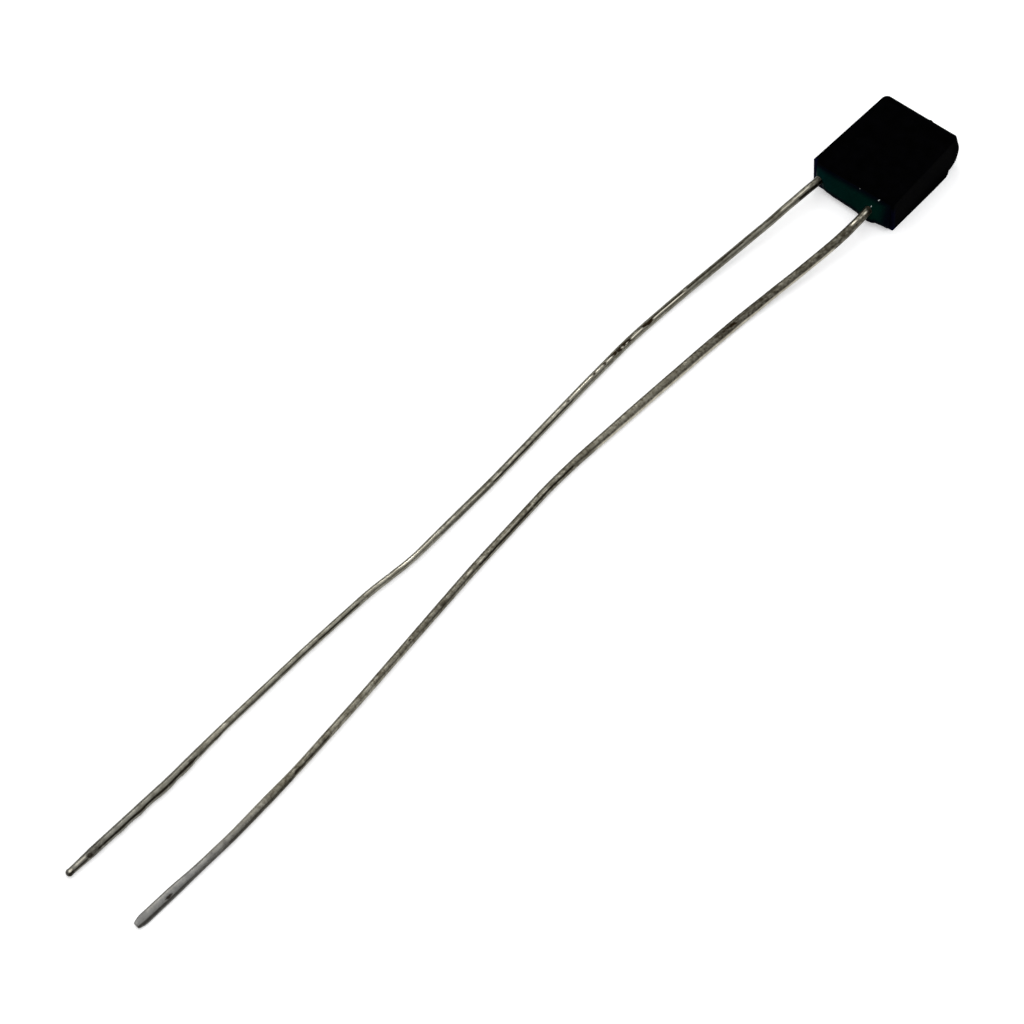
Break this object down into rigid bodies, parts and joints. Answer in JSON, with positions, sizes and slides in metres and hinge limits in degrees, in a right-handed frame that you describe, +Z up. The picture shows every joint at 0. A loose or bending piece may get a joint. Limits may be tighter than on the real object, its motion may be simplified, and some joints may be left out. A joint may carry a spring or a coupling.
{
  "type": "thermal fuse",
  "caption": "Radial thermal cut-off: a flat moulded cup with an epoxy-sealed mouth, out of which long solid wire leads run side by side.",
  "frame": {"origin": "middle of the cup's underside, on the surface that the part lies on", "axes": "+Z up through the cup's thickness, +Y from the mouth to the closed end, leads run towards -Y, +X across the cup to the side of the right lead"},
  "size_m": [0.0078, 0.0757, 0.0023],
  "materials": {
    "moulded_cup": "black moulded thermoplastic polyester, satin",
    "epoxy_seal": "dark green potting epoxy, cast, glossy",
    "tinned_wire_bright": "tinned copper wire, drawn, with nicks",
    "tinned_wire_dull": "tinned copper wire, drawn, dulled and pitted",
    "low_melting_alloy": "cast low-melting alloy, satin",
    "flux_wax": "amber rosin flux, waxy"
  },
  "bodies": {
    "root": {"case": "moulded_cup", "sealing_resin": "epoxy_seal", "lead_left": "tinned_wire_bright", "lead_right": "tinned_wire_dull", "fusible_link": "low_melting_alloy", "flux": "flux_wax"}
  },
  "joints": []
}
